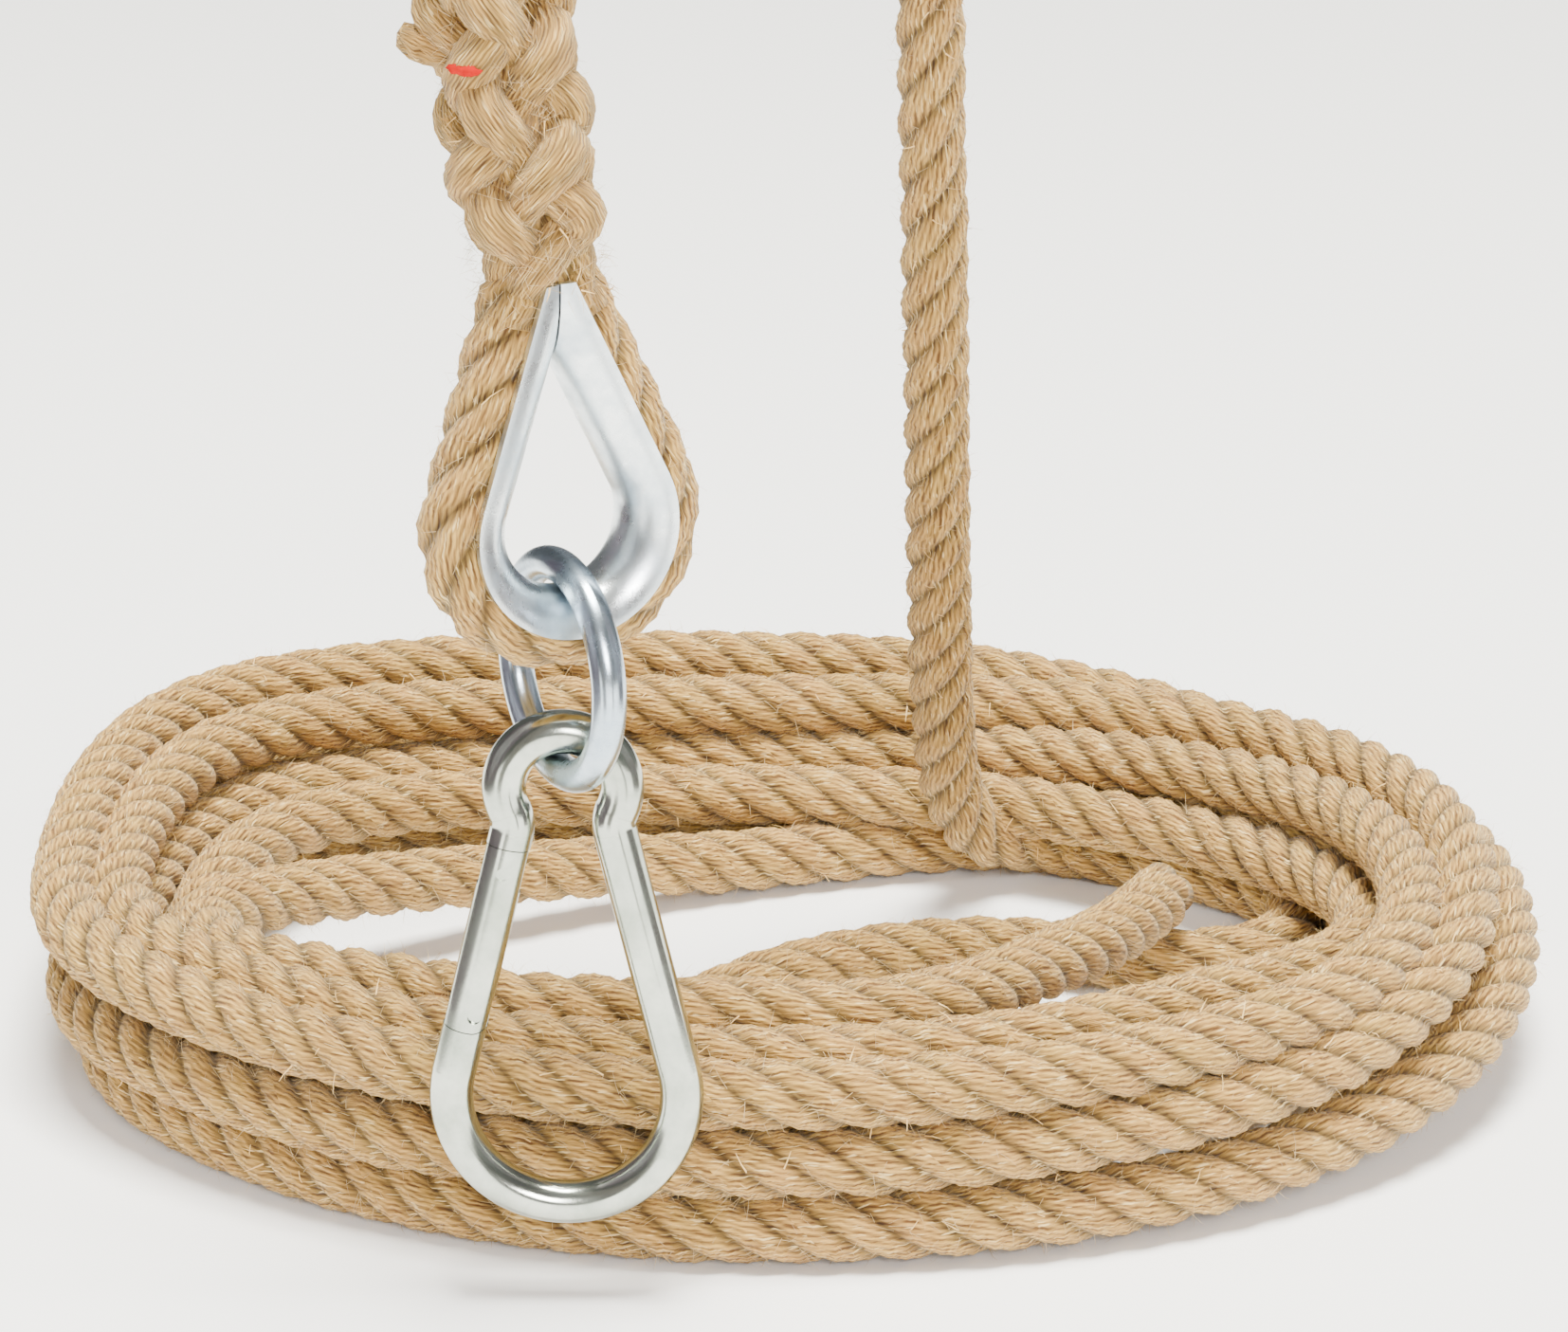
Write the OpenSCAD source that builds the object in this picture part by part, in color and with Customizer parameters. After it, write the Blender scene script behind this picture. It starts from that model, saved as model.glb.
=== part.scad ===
/* [Rope] */
// Diameter of the four-strand hemp rope
rope_d = 22; // [18:1:26]
// Width of the stretch where the eye's strands are tucked back
splice_w = 40; // [34:1:48]
// Length of that stretch at its full width
splice_l = 92; // [70:1:110]
// Diameter of one strand of the rope
strand_d = 9.5; // [8:0.5:11]
// Width of the marker yarn
marker_w = 3; // [2:0.5:4]

/* [Coil] */
// Width of the coil on the floor, over its long side
coil_w = 500; // [470:5:600]
// Depth of the coil on the floor
coil_l = 412; // [390:5:490]
// Height of the coil, about three turns
coil_h = 66; // [55:1:80]
// Width of the wound turns, from the inside to the outside
coil_band = 55; // [50:1:70]

/* [Thimble] */
// Radius from the middle of the eye to the middle of the rope at the crown
eye_r = 32.5; // [30:0.5:38]
// Height of the thimble from the middle of its eye to its tips
thimble_l = 73; // [68:1:80]
// Thickness of the pressed steel
thimble_t = 2.5; // [2:0.1:3]
// Slope of the thimble's straight sides
side_slope = 22; // [18:0.5:26]
// Turn of the eye about the upright
eye_turn = 28; // [0:1:45]
// Lean of the eye to the left
eye_lean = 4; // [0:0.5:8]

/* [Ring] */
// Diameter of the ring's wire
ring_wire = 10; // [8:0.5:11]
// Inside diameter of the ring
ring_in = 52; // [46:1:62]

/* [Carabiner] */
// Length of the snap hook over all
hook_l = 160; // [130:1:176]
// Diameter of the snap hook's wire
hook_wire = 13; // [11:0.5:14]
// Radius of the snap hook's small eye, at the middle of the wire
small_r = 17.1; // [16.5:0.1:20]
// Radius of the snap hook's wide end, at the middle of the wire
wide_r = 34; // [29:0.5:36]
// Radius of the neck's kink, at the middle of the wire
kink_r = 9; // [8:0.5:10]
// How far the small eye closes in below its widest place, in degrees
neck_a = 25; // [20:1:30]
// Length of the gate
gate_l = 58; // [49:1:60]
// Diameter of the gate's hinge rivet
rivet_d = 4; // [3.5:0.1:4.6]
// Diameter of the gate's latch pin
latch_d = 3.6; // [3:0.1:4]
// Thickness of the hinge tongue and of the latch nose
tongue_t = 4; // [3.4:0.1:4.6]

/* [Ceiling fitting] */
// Side of the square ceiling plate
plate_w = 64; // [54:1:80]
// Thickness of the ceiling plate
plate_t = 5; // [4:0.5:6]
// Spacing of the four screw holes
hole_pitch = 46; // [40:1:50]
// Diameter of the screw holes
hole_d = 6.5; // [5:0.5:7]
// Diameter of the ceiling hook's rod
rod_d = 12; // [10:0.5:13]
// Inside radius of the ceiling hook's bowl
bowl_r = 16; // [14:0.5:20]

/* [Hidden] */

hemp = [0.69, 0.57, 0.41];
zinc = [0.72, 0.76, 0.79];
bright_zinc = [0.78, 0.80, 0.78];

// Clearances
gap = 0.3;        // between curved faces of different bodies
pin_gap = 0.05;   // round the rivet in the gate
slot_gap = 0.25;  // each side of a tongue in its slot
thread_gap = 0.05; // round the ceiling hook's thread
lap = 0.3;        // of a straight over the bend beside it
thinning = 0.05;  // of round wire and sheet where they bend

rope_r = rope_d / 2;

// The coil lies this far behind the origin, because the eye hangs in front of it
coil_y = 23.4;

// Middle of the thimble's eye, where the whole hanging end is carried
eye_at = [-64, -220 + coil_y, 241];

// The rope's routes, by hand, from the middle of the coil.
// The riser comes out of the coil's inside at the back.
riser_pts = [[88, 139, 15], [71, 127, 22], [60, 112, 42], [55, 90, 78], [52, 58, 140], [50, 30, 210],
             [48, 9, 280], [46, -7, 345], [44, -22, 405]];
// The arch goes over the ceiling hook and down to the splice.
arch_pts = [[44, -22, 405], [40, -38, 450], [29, -58, 492], [9, -84, 525], [-20, -112, 537],
            [-50, -139, 530], [-74, -172, 509], [-88, -196, 479], [-89, -209, 443]];
// The inner run goes to the right along the back, turns back and crosses to the front.
run_pts = [[88, 139, 15], [112, 141, 12], [145, 130, 12], [170, 104, 12], [177, 70, 12], [163, 38, 12],
           [132, 28, 12], [98, 37, 12], [60, 40, 12], [22, 28, 12], [-12, 2, 12], [-40, -34, 12],
           [-58, -75, 12], [-54, -114, 12], [-32, -142, 12], [-4, -152, 12]];
// The tail leaves the left inner end, lies on the front turns and crosses to its cut end.
tail_pts = [[-20, 124, 13], [-60, 105, 18], [-117, 71, 26], [-156, 40, 33], [-183, 2, 41], [-189, -42, 48],
            [-167, -85, 54], [-122, -118, 59], [-75, -140, 61], [-20, -149, 63], [22, -148, 62],
            [51, -126, 58], [83, -75, 50], [107, -26, 42], [128, 32, 34]];

// Splice: it starts over the thimble's tips and leans a little more than the eye
splice_lean = 9;                  // to the left
splice_back = 6;                  // away from the front
splice_taper = 38;
splice_foot = thimble_l + 2.5;
splice_at = eye_at
    + splice_foot * [-sin(eye_lean) * cos(eye_turn), -sin(eye_lean) * sin(eye_turn), cos(eye_lean)];

// Ring and snap hook hang below the crown of the eye
crown_section_r = rope_r + gap + thimble_t;
rim_back = 1;                     // the thimble's rims stop short of the rope's middle
ring_r = ring_in / 2 + ring_wire / 2;
ring_top = eye_at[2] - eye_r + crown_section_r + gap + ring_wire / 2;
ring_at = [eye_at[0], eye_at[1], ring_top - ring_r];
hook_top = ring_top - 2 * ring_r + ring_wire / 2 + 2 * gap + hook_wire / 2;

// Snap hook, in its own plane with the middle of its top at the origin
wire_l = hook_l - hook_wire;
kink_at = [(small_r + kink_r) * cos(neck_a), -small_r - (small_r + kink_r) * sin(neck_a)];
to_wide = [-kink_at[0], -wire_l + wide_r - kink_at[1]];
leg_a = asin((wide_r + kink_r) / norm(to_wide)) - atan(kink_at[0] / -to_wide[1]);
leg_l = sqrt(norm(to_wide) ^ 2 - (wide_r + kink_r) ^ 2);
leg_top = [-kink_at[0] + kink_r * cos(leg_a), kink_at[1] - kink_r * sin(leg_a)];

// Gate, along the left leg from the leg's top
nose_l = 4;                       // round wire left above the gate
hinge_h = 5;                      // hinge above the gate's lower end
hinge_in = 2;                     // hinge inwards from the wire's middle
gate_foot = -nose_l - gap - gate_l;
hinge_y = gate_foot + hinge_h;
gate_reach = -nose_l - gap - hinge_y;
stub_l = leg_l + gate_foot - gap;
tongue_r = 4.2;                   // round end of the hinge tongue
cam_h = 3.4;                      // flat on the tongue's end, above the hinge
nose_reach = 12;                  // latch nose, past the round wire
latch_y = -nose_l - gap - 7.6;
slot_w = tongue_t + 2 * slot_gap;
bore_d = 5;
bore_l = 26;
bore_end = hinge_y + tongue_r + 1 + bore_l;
plunger_d = bore_d - 0.3;
plunger_l = 9;
plunger_y = hinge_y + cam_h + gap;
spring_wire = 0.7;
spring_turns = 7;
spring_y = plunger_y + plunger_l;
spring_l = bore_end - spring_y;

// Ceiling fitting, over the top of the arch
arch_top = [-20, -112 + coil_y, 537];
bowl_mid_r = bowl_r + rod_d / 2;
bowl_at = [arch_top[0], arch_top[1], arch_top[2] + bowl_r - rope_r - gap - 0.7];
hook_turn = -47;                  // the hook stands across the rope
bowl_back = 66;                   // how far the bowl's rod comes back over the rope, in degrees
bowl_tip = 15;                    // how far the tip rises past the bowl's middle, in degrees
bowl_kink_r = bowl_mid_r * cos(bowl_back) / (1 - cos(bowl_back));
shank_y = (bowl_mid_r + bowl_kink_r) * sin(bowl_back);
neck_l = 6;                       // bare shank under the lock nut
nut_h = 8;
nut_w = 19;
boss_h = 14;
boss_d = 2 * rod_d;
nut_z = bowl_at[2] + shank_y + neck_l;
boss_z = nut_z + nut_h;
plate_z = boss_z + boss_h;

// One round stretch of rope: a tube of twelve sides along a smooth line through the points
sides = 12;
function unit(v) = v / norm(v);
function curve_at(p, i, t) =
    let (a = p[max(i - 1, 0)], b = p[i], c = p[i + 1], d = p[min(i + 2, len(p) - 1)])
    (2 * b + (c - a) * t + (2 * a - 5 * b + 4 * c - d) * t ^ 2 + (3 * b - a - 3 * c + d) * t ^ 3) / 2;
function smooth(p, steps) =
    [for (i = [0 : len(p) - 2], s = [0 : steps - 1]) curve_at(p, i, s / steps), p[len(p) - 1]];
function heading(q, i) = unit(q[min(i + 1, len(q) - 1)] - q[max(i - 1, 0)]);
function tube_ring(q, i, ref) =
    let (t = heading(q, i), u = unit(cross(ref, t)), v = cross(t, u))
    [for (k = [0 : sides - 1]) q[i] + rope_r * (cos(360 * k / sides) * u + sin(360 * k / sides) * v)];

module rope_tube(points, ref, steps = 1) {
    q = [for (p = smooth(points, steps)) p + [0, coil_y, 0]];
    n = len(q);
    color(hemp)
        polyhedron(
            points = [for (i = [0 : n - 1]) each tube_ring(q, i, ref)],
            faces = [
                [for (k = [0 : sides - 1]) k],
                for (i = [0 : n - 2], k = [0 : sides - 1])
                    let (a = i * sides, b = a + sides, m = (k + 1) % sides)
                    each [[a + k, b + k, b + m], [a + k, b + m, a + m]],
                [for (k = [sides - 1 : -1 : 0]) (n - 1) * sides + k]
            ],
            convexity = 6
        );
}

// Oval outline of the coil
function oval(half_x, half_y, n = 64) =
    [for (k = [0 : n - 1]) [half_x * cos(360 * k / n), half_y * sin(360 * k / n)]];

module rope_coil() {
    color(hemp)
        translate([0, coil_y, 0])
            linear_extrude(coil_h)
                difference() {
                    polygon(oval(coil_w / 2, coil_l / 2));
                    polygon(oval(coil_w / 2 - coil_band, coil_l / 2 - coil_band));
                }
}

module rope_inner_run() {
    rope_tube(run_pts, [0, 0, 1]);
}

module rope_riser() {
    rope_tube(riser_pts, [1, 0, 0]);
}

module rope_arch() {
    rope_tube(arch_pts, [0.6, -0.8, 0]);
}

module rope_tail() {
    rope_tube(tail_pts, [0, 0, 1]);
}

// The eye's own frame: across the eye, up to the splice, and out of its face towards the front
module eye_frame() {
    translate(eye_at)
        rotate([0, 0, eye_turn])
            rotate([0, -eye_lean, 0])
                rotate([90, 0, 0])
                    children();
}

module eye_crown() {
    rotate([0, 0, 180 - side_slope])
        rotate_extrude(angle = 180 + 2 * side_slope, $fn = 96)
            children();
}

module right_side(length) {
    rotate([0, 0, side_slope])
        translate([0, length, 0])
            rotate([90, 0, 0])
                linear_extrude(length + lap)
                    children();
}

module left_side(length) {
    rotate([0, 0, 180 - side_slope])
        translate([0, lap, 0])
            rotate([90, 0, 0])
                linear_extrude(length + lap)
                    children();
}

// Straight length of a side that ends level with the given height
function side_to(h, r) = (h - r * sin(side_slope)) / cos(side_slope);

module rope_eye() {
    side_l = side_to(thimble_l, eye_r);
    color(hemp)
        eye_frame() {
            eye_crown()
                translate([eye_r, 0])
                    circle(r = rope_r - thinning, $fn = 48);
            right_side(side_l)
                translate([eye_r, 0])
                    circle(r = rope_r, $fn = 48);
            left_side(side_l)
                translate([eye_r, 0])
                    circle(r = rope_r, $fn = 48);
        }
}

module thimble_section(thinner = 0) {
    difference() {
        translate([eye_r, 0])
            circle(r = crown_section_r - thinner, $fn = 48);
        translate([eye_r, 0])
            circle(r = rope_r + gap + thinner, $fn = 48);
        translate([eye_r - rim_back - thinner, -50])
            square(100);
    }
}

module thimble() {
    tip_gap = 0.3;
    color(zinc)
        eye_frame()
            intersection() {
                union() {
                    eye_crown()
                        thimble_section(thinning);
                    intersection() {
                        right_side(thimble_l)
                            thimble_section();
                        translate([tip_gap, -60, -20])
                            cube([60, 160, 40]);
                    }
                    intersection() {
                        left_side(thimble_l)
                            thimble_section();
                        translate([-60 - tip_gap, -60, -20])
                            cube([60, 160, 40]);
                    }
                }
                translate([-50, -50, -20])
                    cube([100, 50 + thimble_l, 40]);
            }
}

module splice_frame() {
    translate(splice_at)
        rotate([-splice_back, -splice_lean, 0])
            children();
}

module rope_splice() {
    r = splice_w / 2;
    color(hemp)
        splice_frame()
            rotate_extrude($fn = 48)
                polygon([[0, 0], [r - 5, 0], [r, 8], [r, splice_l], [rope_r, splice_l + splice_taper],
                         [0, splice_l + splice_taper]]);
}

module splice_strand_ends() {
    sunk = 4;
    out = 9;
    turn_and_height = [[183, 63], [95, 66], [20, 75], [130, 87]];
    color(hemp)
        splice_frame()
            for (e = turn_and_height)
                rotate([0, 0, e[0]])
                    translate([splice_w / 2 - sunk, 0, e[1]])
                        rotate([0, 62, 0])
                            cylinder(d = strand_d, h = sunk + out, $fn = 32);
}

module marker_yarn() {
    thick = 1.2;
    color([0.85, 0.2, 0.12])
        splice_frame()
            translate([0, 0, 59])
                rotate([0, 0, 229])
                    rotate_extrude(angle = 27, $fn = 64)
                        translate([splice_w / 2, 0])
                            square([thick, marker_w]);
}

// The ring stands across the eye, so its own plane holds the upright and the eye's outward line
module swing_ring() {
    weld_a = 9;
    color(zinc)
        translate(ring_at)
            rotate([0, 0, eye_turn])
                rotate([0, 90, 0]) {
                    rotate_extrude($fn = 96)
                        translate([ring_r, 0])
                            circle(d = ring_wire, $fn = 48);
                    rotate([0, 0, 90 - weld_a / 2])
                        rotate_extrude(angle = weld_a, $fn = 96)
                            translate([ring_r, 0])
                                circle(d = ring_wire + 0.6, $fn = 48);
                }
}

// Round wire bent in one plane: [0, length] runs straight on, [radius, angle] bends, to the left
// when the angle is positive. A bend draws the wire a little thinner, and each straight laps over
// the ends of the bends beside it, so bends always have a straight between them, if only of no length.
module bent_wire(d, moves, i = 0) {
    if (i < len(moves)) {
        r = moves[i][0];
        a = moves[i][1];
        if (r == 0) {
            before = i > 0 ? lap : 0;
            after = i < len(moves) - 1 ? lap : 0;
            translate([0, -before, 0])
                rotate([-90, 0, 0])
                    cylinder(d = d, h = before + a + after, $fn = 48);
            translate([0, a, 0])
                bent_wire(d, moves, i + 1);
        } else {
            translate([-sign(a) * r, 0, 0]) {
                rotate([0, 0, a > 0 ? 0 : 180 + a])
                    rotate_extrude(angle = abs(a), $fn = 96)
                        translate([r, 0])
                            circle(d = d - 2 * thinning, $fn = 48);
                rotate([0, 0, a])
                    translate([sign(a) * r, 0, 0])
                        bent_wire(d, moves, i + 1);
            }
        }
    }
}

// The snap hook's frame, upright and facing the front
module hook_frame() {
    translate([eye_at[0], eye_at[1], hook_top])
        rotate([90, 0, 0])
            children();
}

// The left leg's frame: inwards, up along the leg, and out to the front
module gate_frame() {
    hook_frame()
        translate(leg_top)
            rotate([0, 0, -leg_a])
                children();
}

module hinge_disc(r, h) {
    translate([hinge_in, hinge_y, -h / 2])
        cylinder(r = r, h = h, $fn = 96);
}

// The corner that the gate and the hook share at the hinge, on the opening's side
module hinge_corner() {
    translate([hinge_in, gate_foot - 1, -10])
        cube([20, hinge_h + 1, 20]);
}

module carabiner_body() {
    color(bright_zinc) {
        difference() {
            union() {
                hook_frame()
                    translate(leg_top)
                        rotate([0, 0, -leg_a])
                            translate([0, -nose_l - 2, 0])
                                bent_wire(hook_wire, [
                                    [0, nose_l + 2], [kink_r, leg_a + neck_a], [0, 0],
                                    [small_r, -180 - 2 * neck_a], [0, 0], [kink_r, leg_a + neck_a],
                                    [0, leg_l], [wide_r, -180 - 2 * leg_a], [0, stub_l]]);
                gate_frame() {
                    intersection() {
                        translate([0, gate_foot - 3, 0])
                            rotate([-90, 0, 0])
                                cylinder(d = hook_wire + 2 * thinning, h = 3 + hinge_h, $fn = 48);
                        difference() {
                            hinge_corner();
                            hinge_disc(hinge_h + gap, 30);
                        }
                    }
                    difference() {
                        intersection() {
                            translate([0, gate_foot - 3, 0])
                                rotate([-90, 0, 0])
                                    cylinder(d = hook_wire + 2 * thinning, h = 20, $fn = 48);
                            translate([hinge_in - tongue_r, gate_foot - 3, -tongue_t / 2])
                                cube([2 * tongue_r, 3 + hinge_h + cam_h, tongue_t]);
                            union() {
                                hinge_disc(tongue_r, tongue_t);
                                translate([-hook_wire, gate_foot - 3, -tongue_t])
                                    cube([2 * hook_wire, 3 + hinge_h, 2 * tongue_t]);
                            }
                        }
                        hinge_disc(rivet_d / 2, 30);
                    }
                }
            }
            gate_frame()
                intersection() {
                    translate([-10, -nose_l - 3, -10])
                        cube([20, 3.5 + gap, 20]);
                    hinge_disc(gate_reach + gap, 20);
                }
        }
        gate_frame()
            difference() {
                translate([-3.5, -nose_l - nose_reach, -tongue_t / 2])
                    cube([8, nose_reach + 1, tongue_t]);
                translate([0, latch_y, -5])
                    cylinder(d = latch_d + 0.8, h = 10, $fn = 32);
                translate([0, latch_y - latch_d / 2 - 0.4, -5])
                    cube([10, latch_d + 0.8, 10]);
            }
    }
}

module carabiner_gate() {
    color(bright_zinc)
        gate_frame()
            difference() {
                intersection() {
                    translate([0, gate_foot, 0])
                        rotate([-90, 0, 0])
                            cylinder(d = hook_wire, h = gate_l + 1, $fn = 48);
                    hinge_disc(gate_reach, 20);
                }
                difference() {
                    hinge_corner();
                    hinge_disc(hinge_h, 30);
                }
                translate([-10, gate_foot - 1, -slot_w / 2])
                    cube([20, 1 + hinge_h + tongue_r + 1, slot_w]);
                translate([-10, -nose_l - nose_reach - 1.8, -slot_w / 2])
                    cube([20, 20, slot_w]);
                hinge_disc(rivet_d / 2 + pin_gap, 30);
                translate([0, latch_y, -10])
                    cylinder(d = latch_d, h = 20, $fn = 32);
                translate([0, plunger_y - 1, 0])
                    rotate([-90, 0, 0])
                        cylinder(d = bore_d, h = bore_end - plunger_y + 1, $fn = 32);
            }
}

module gate_rivet() {
    h = 2 * sqrt((hook_wire / 2) ^ 2 - (hinge_in + rivet_d / 2) ^ 2);
    color(bright_zinc)
        gate_frame()
            hinge_disc(rivet_d / 2, h);
}

module latch_pin() {
    h = 2 * sqrt((hook_wire / 2) ^ 2 - (latch_d / 2) ^ 2);
    color(bright_zinc)
        gate_frame()
            translate([0, latch_y, -h / 2])
                cylinder(d = latch_d, h = h, $fn = 32);
}

module gate_plunger() {
    color("silver")
        gate_frame()
            translate([0, plunger_y, 0])
                rotate([-90, 0, 0])
                    cylinder(d = plunger_d, h = plunger_l, $fn = 32);
}

// A coil spring, swept like the rope but with its own radius
module gate_spring() {
    mid_r = (bore_d - spring_wire) / 2 - 0.2;
    steps = 14;
    corners = 6;
    n = spring_turns * steps;
    rise = (spring_l - spring_wire - 0.4) / n;
    color("dimgray")
        gate_frame()
            translate([0, spring_y + spring_wire / 2 + 0.2, 0])
                rotate([-90, 0, 0])
                    polyhedron(
                        points = [
                            for (i = [0 : n], k = [0 : corners - 1])
                                let (a = 360 * i / steps, b = 360 * k / corners,
                                     r = mid_r + spring_wire / 2 * cos(b))
                                [r * cos(a), r * sin(a), i * rise + spring_wire / 2 * sin(b)]
                        ],
                        faces = [
                            [for (k = [0 : corners - 1]) k],
                            for (i = [0 : n - 1], k = [0 : corners - 1])
                                let (a = i * corners, b = a + corners, m = (k + 1) % corners)
                                each [[a + k, b + k, b + m], [a + k, b + m, a + m]],
                            [for (k = [corners - 1 : -1 : 0]) n * corners + k]
                        ],
                        convexity = 20
                    );
}

// The ceiling hook's frame, with the bowl's middle at the origin, across the arch
module bowl_frame() {
    translate(bowl_at)
        rotate([0, 0, hook_turn])
            rotate([90, 0, 0])
                children();
}

module swing_hook() {
    color(zinc)
        bowl_frame()
            rotate([0, 0, bowl_tip])
                translate([bowl_mid_r, 0, 0])
                    rotate([0, 0, 180]) {
                        bent_wire(rod_d, [[0, 0], [bowl_mid_r, -180 - bowl_tip - bowl_back], [0, 0],
                                          [bowl_kink_r, bowl_back], [0, neck_l + nut_h + boss_h]]);
                        rotate([90, 0, 0])
                            cylinder(d1 = rod_d, d2 = rod_d - 4, h = 2, $fn = 48);
                    }
}

module ceiling_plate() {
    color(zinc)
        translate([bowl_at[0], bowl_at[1], 0])
            difference() {
                union() {
                    translate([-plate_w / 2, -plate_w / 2, plate_z])
                        cube([plate_w, plate_w, plate_t]);
                    translate([0, 0, boss_z])
                        cylinder(d = boss_d, h = boss_h, $fn = 64);
                }
                for (x = [-1, 1], y = [-1, 1])
                    translate([x * hole_pitch / 2, y * hole_pitch / 2, plate_z - 1])
                        cylinder(d = hole_d, h = plate_t + 2, $fn = 48);
                translate([0, 0, boss_z - 1])
                    cylinder(d = rod_d + 2 * thread_gap, h = boss_h + 1, $fn = 48);
            }
}

module hook_lock_nut() {
    color(zinc)
        translate([bowl_at[0], bowl_at[1], nut_z])
            difference() {
                cylinder(d = nut_w / cos(30), h = nut_h, $fn = 6);
                translate([0, 0, -1])
                    cylinder(d = rod_d + 2 * thread_gap, h = nut_h + 2, $fn = 48);
            }
}

rope_coil();
rope_inner_run();
rope_riser();
rope_arch();
rope_splice();
splice_strand_ends();
marker_yarn();
rope_eye();
rope_tail();
thimble();
swing_ring();
carabiner_body();
carabiner_gate();
gate_rivet();
latch_pin();
gate_plunger();
gate_spring();
ceiling_plate();
swing_hook();
hook_lock_nut();
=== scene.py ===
import math
import random

import bpy
from mathutils import Matrix, Vector


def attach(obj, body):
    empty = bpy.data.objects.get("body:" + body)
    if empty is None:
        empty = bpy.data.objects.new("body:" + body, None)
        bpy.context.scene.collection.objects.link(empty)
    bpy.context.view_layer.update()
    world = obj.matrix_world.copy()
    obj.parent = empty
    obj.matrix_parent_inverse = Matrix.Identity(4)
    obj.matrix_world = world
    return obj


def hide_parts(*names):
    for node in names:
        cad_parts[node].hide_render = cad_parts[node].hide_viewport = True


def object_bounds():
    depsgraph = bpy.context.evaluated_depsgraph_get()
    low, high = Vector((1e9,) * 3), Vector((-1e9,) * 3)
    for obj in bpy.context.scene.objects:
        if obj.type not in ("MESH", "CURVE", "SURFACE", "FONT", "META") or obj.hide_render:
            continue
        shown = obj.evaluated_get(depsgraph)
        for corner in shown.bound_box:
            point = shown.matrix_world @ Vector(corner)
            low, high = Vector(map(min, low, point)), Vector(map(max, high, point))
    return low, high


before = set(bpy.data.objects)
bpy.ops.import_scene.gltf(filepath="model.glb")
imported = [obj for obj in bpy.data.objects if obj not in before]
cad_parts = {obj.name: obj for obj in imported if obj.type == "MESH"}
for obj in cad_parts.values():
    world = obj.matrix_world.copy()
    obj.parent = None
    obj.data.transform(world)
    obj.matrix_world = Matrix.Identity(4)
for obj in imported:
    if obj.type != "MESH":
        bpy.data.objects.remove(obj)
cad_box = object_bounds()

# The viewpoint
# A long lens in front of the coil and above it, tipped down by eighteen degrees.
VIEW_FROM = (0, -1.7646, 0.707)
TIPPED_DOWN = 18
LENS_MM = 131.7
SEES_TO = 20
bpy.ops.object.camera_add(location=VIEW_FROM, rotation=(math.radians(90 - TIPPED_DOWN), 0, 0))
viewpoint = bpy.context.object
viewpoint.data.sensor_width = 36
viewpoint.data.lens = LENS_MM
viewpoint.data.clip_end = SEES_TO
bpy.context.scene.camera = viewpoint

# The rope's route
# One length of four-strand hemp rope. It starts in the eye's throat, goes round the thimble, up
# through the splice, over the ceiling hook and down to the coil, and ends in a plain cut end.
# The route's points are in millimetres, and the coil's are measured from its own middle.
COIL_BACK = 23.4
COIL_HALF_WIDTH, COIL_HALF_DEPTH = 239, 196
SQUARE_CORNER = 138
EYE_AT = Vector((-64, -196.6, 241))
EYE_ACROSS = Vector((0.88082, 0.46834, 0.06976))
EYE_UP = Vector((-0.06159, -0.03275, 0.99756))


def in_eye(across, up):
    return EYE_AT + EYE_ACROSS * across + EYE_UP * up


def outline(angle, inset):
    """The coil's outer turn, squarer at the back left, and the turns inside it."""
    a = math.radians(angle)
    corner = max(0.0, math.cos(math.radians(angle - SQUARE_CORNER))) ** 2
    power = 2 / (2.05 + 1.0 * corner)
    c, s = math.cos(a), math.sin(a)
    x = (COIL_HALF_WIDTH - inset) * math.copysign(abs(c) ** power, c)
    y = (COIL_HALF_DEPTH - inset) * math.copysign(abs(s) ** power, s)
    return x, y


def eased(values, at):
    """Smooth curve through evenly spaced values."""
    i = min(int(at), len(values) - 2)
    t = at - i
    a, b = values[max(i - 1, 0)], values[i]
    c, d = values[i + 1], values[min(i + 2, len(values) - 1)]
    return (2 * b + (c - a) * t + (2 * a - 5 * b + 4 * c - d) * t * t
            + (3 * b - a - 3 * c + d) * t ** 3) / 2


# Each turn's inset and height at the front, front right, right, back right, back, back left,
# left and front left, from the innermost turn on the floor upwards
TURNS = [
    [(46, 12), (66, 12), (14, 12), (12, 12), (12, 12), (14, 12), (18, 12), (8, 12)],
    [(0, 12), (0, 18), (0, 38), (-4, 50), (-6, 62), (-5, 64), (3, 62), (0, 57)],
    [(0, 55), (10, 58), (37, 60), (42, 52), (30, 38), (26, 36), (22, 37), (22, 35)],
    [(22, 33), (22, 33), (22, 34), (14, 34), (7, 35), (5, 33), (8, 31), (2, 32)],
    [(0, 33), (3, 42), (16, 62), (22, 62), (28, 57), (19, 58), (20, 58), (22, 58)],
    [(22, 57), (48, 50), (46, 38), (54, 33), (52, 31), (46, 33), (44, 35), (42, 38)],
    [(46, 40), (84, 31), (38, 13), (34, 12), (38, 12)],
]
STATION_ANGLE = 45
BETWEEN = 4
TURNS_START = -90
stations = [v for turn in TURNS for v in turn]
insets, heights = [v[0] for v in stations], [v[1] for v in stations]
wound = []
for k in range(1, (len(stations) - 1) * BETWEEN - 1):
    x, y = outline(TURNS_START + k * STATION_ANGLE / BETWEEN, eased(insets, k / BETWEEN))
    wound.append((x, y, eased(heights, k / BETWEEN)))

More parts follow.
